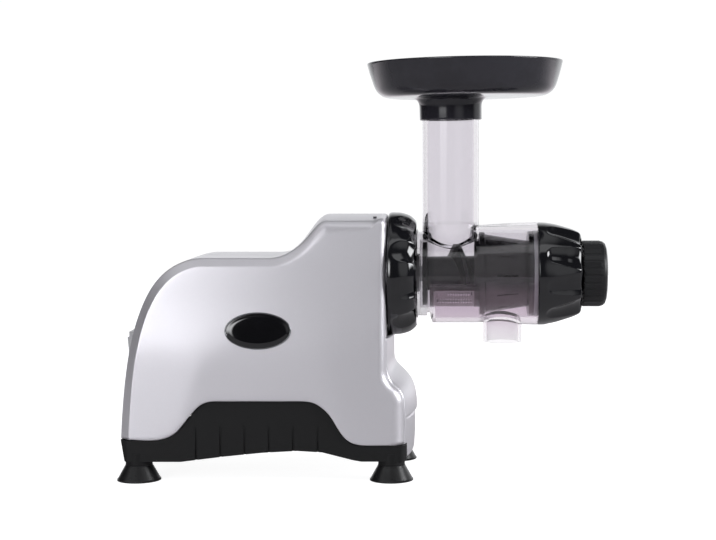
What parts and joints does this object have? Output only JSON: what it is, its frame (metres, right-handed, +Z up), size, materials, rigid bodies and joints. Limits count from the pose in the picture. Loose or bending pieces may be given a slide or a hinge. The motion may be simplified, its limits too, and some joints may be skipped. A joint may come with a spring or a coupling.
{
  "type": "cold press juicer",
  "caption": "Horizontal single-auger juicer: silver motor body on suction feet, clear drum with feed tube, black locking ring, end cap, pressure knob and hopper tray.",
  "frame": {"origin": "on the standing plane, under the centre of the bounding box", "axes": "+X along the auger towards the pressure knob, +Y towards the side without the badge, +Z up"},
  "size_m": [0.3926, 0.159, 0.3353],
  "materials": {
    "silver_shell": "satin silver paint",
    "black_base": "fine-grained charcoal",
    "gloss_black": "polished black",
    "satin_black": "satin black",
    "clear_smoke": "clear, smoke tinted",
    "auger_black": "moulded black",
    "screen_resin": "dark smoke resin",
    "mesh_steel": "perforated",
    "rubber_black": "soft matt",
    "silicone_grey": "translucent grey",
    "badge_black": "bare, gloss",
    "badge_chrome": "bright rim",
    "mark_grey": "small lock mark",
    "switch_grey": "satin",
    "steel": "machined",
    "zinc": "zinc-plated screws",
    "lamination": "stacked laminations",
    "copper": "enamelled copper",
    "cast_alloy": "as cast",
    "nylon_white": "natural nylon",
    "sintered": "sintered gear steel",
    "bronze": "sintered bronze",
    "capacitor_can": "plain can"
  },
  "bodies": {
    "machine": {"housing_left": "silver_shell", "housing_right": "silver_shell", "front_cover": "silver_shell", "shell_screws": "zinc", "base_tray": "black_base", "base_screws": "zinc", "suction_feet": "rubber_black", "foot_screws": "zinc", "badge_rim": "badge_chrome", "badge_plate": "badge_black", "lock_mark": "mark_grey", "switch_bezel": "switch_grey", "switch_pivot_pin": "steel", "cord_gland": "satin_black", "terminal_block": "nylon_white", "run_capacitor": "capacitor_can", "motor_stator": "lamination", "motor_windings": "copper", "motor_end_bell_rear": "cast_alloy", "motor_end_bell_front": "cast_alloy", "motor_bearings": "steel", "motor_bolts": "zinc", "motor_cradle": "cast_alloy", "cradle_dampers": "rubber_black", "gearbox_case": "cast_alloy", "gearbox_cover": "cast_alloy", "gearbox_screws": "zinc", "intermediate_bushes": "bronze", "output_bearings": "steel", "drum_hub": "satin_black", "hub_screws": "zinc", "output_seal": "silicone_grey", "drum": "clear_smoke", "feed_chute": "clear_smoke", "drum_gasket": "silicone_grey", "juicing_screen": "screen_resin", "screen_mesh": "mesh_steel", "auger_seal": "silicone_grey"},
    "motor_rotor_group": {"motor_shaft": "steel", "motor_rotor": "lamination", "motor_pinion": "steel", "cooling_fan": "nylon_white"},
    "idler_group": {"intermediate_gear": "sintered", "intermediate_pinion": "sintered", "intermediate_shaft": "steel"},
    "auger_group": {"output_gear": "sintered", "output_shaft": "steel", "drive_socket": "steel", "auger_shaft": "steel", "auger": "auger_black"},
    "ring_body": {"locking_ring": "gloss_black"},
    "cap_body": {"end_cap": "gloss_black", "end_cap_gasket": "silicone_grey"},
    "nozzle_body": {"nozzle_insert": "satin_black"},
    "knob_body": {"pressure_knob": "satin_black"},
    "tray_body": {"hopper_tray": "gloss_black"},
    "rocker_body": {"switch_rocker": "switch_grey"}
  },
  "joints": [
    {"name": "motor_spin", "type": "hinge", "parent": "machine", "child": "motor_rotor_group", "pos_m": [-0.09, 0, 0.08403], "axis": [1, 0, 0], "continuous": true},
    {"name": "idler_spin", "type": "hinge", "parent": "machine", "child": "idler_group", "pos_m": [-0.025, 0, 0.11707], "axis": [1, 0, 0], "continuous": true},
    {"name": "auger_spin", "type": "hinge", "parent": "machine", "child": "auger_group", "pos_m": [0.06, 0, 0.1615], "axis": [1, 0, 0], "continuous": true},
    {"name": "lock_ring_turn", "type": "hinge", "parent": "machine", "child": "ring_body", "pos_m": [0.03, 0, 0.1615], "axis": [1, 0, 0], "range_deg": [0, 30]},
    {"name": "end_cap_turn", "type": "hinge", "parent": "machine", "child": "cap_body", "pos_m": [0.15, 0, 0.1615], "axis": [1, 0, 0], "range_deg": [0, 40]},
    {"name": "pressure_knob_turn", "type": "hinge", "parent": "cap_body", "child": "knob_body", "pos_m": [0.186, 0, 0.1615], "axis": [1, 0, 0], "range_deg": [0, 90]},
    {"name": "nozzle_slide", "type": "slide", "parent": "cap_body", "child": "nozzle_body", "axis": [-1, 0, 0], "range_m": [0, 0.00302]},
    {"name": "tray_lift", "type": "slide", "parent": "machine", "child": "tray_body", "axis": [0, 0, 1], "range_m": [0, 0.03]},
    {"name": "power_rocker", "type": "hinge", "parent": "machine", "child": "rocker_body", "pos_m": [-0.1902, 0, 0.099], "axis": [0, 1, 0], "range_deg": [-9, 9]}
  ],
  "couplings": [
    {"joint": "idler_spin", "follows": "motor_spin", "ratio": -0.22222},
    {"joint": "auger_spin", "follows": "motor_spin", "ratio": 0.049808},
    {"joint": "nozzle_slide", "follows": "pressure_knob_turn", "m_per_rad": 0.0019099}
  ]
}
